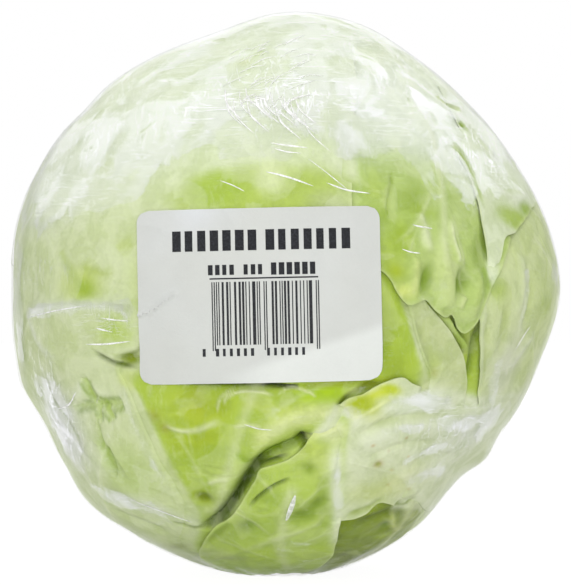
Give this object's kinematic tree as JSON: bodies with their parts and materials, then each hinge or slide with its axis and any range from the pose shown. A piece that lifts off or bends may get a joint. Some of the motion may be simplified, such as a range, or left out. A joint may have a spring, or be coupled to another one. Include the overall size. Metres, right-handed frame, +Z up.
{
  "type": "white cabbage head wrapped in clear film",
  "caption": "Round head of white cabbage, its outer leaves wrapped tight in clear cling film, with a paper price label on the front; it stands on its small flat base.",
  "frame": {"origin": "on the resting surface, under the middle of the head", "axes": "+Z up, -Y out of the labelled front, +X to the right of someone facing the front"},
  "size_m": [0.1721, 0.1688, 0.176],
  "materials": {
    "inner_leaves": "waxy leaf, packed in layers",
    "stem": "dry cut stalk",
    "pale_leaf": "waxy pale green leaf with fine veins",
    "green_leaf": "waxy yellow-green leaf with pale veins",
    "grey_leaf": "waxy grey-green leaf",
    "olive_leaf": "darker olive leaf",
    "clear_film": "clear, shiny, finely wrinkled cling film",
    "label_paper": "satin white label paper"
  },
  "bodies": {
    "root": {"inner_head": "inner_leaves", "cut_stem": "stem", "left_outer_leaf": "pale_leaf", "shoulder_leaf": "pale_leaf", "lower_front_leaf": "green_leaf", "back_base_leaf": "pale_leaf", "pleated_leaf": "green_leaf", "lower_right_leaf": "pale_leaf", "back_right_leaf": "pale_leaf", "right_outer_leaf": "grey_leaf", "folded_leaf": "grey_leaf", "back_left_leaf": "pale_leaf", "front_leaf": "green_leaf", "base_right_leaf": "olive_leaf", "back_crown_leaf": "pale_leaf", "film_wrap": "clear_film", "price_label": "label_paper"}
  },
  "joints": []
}
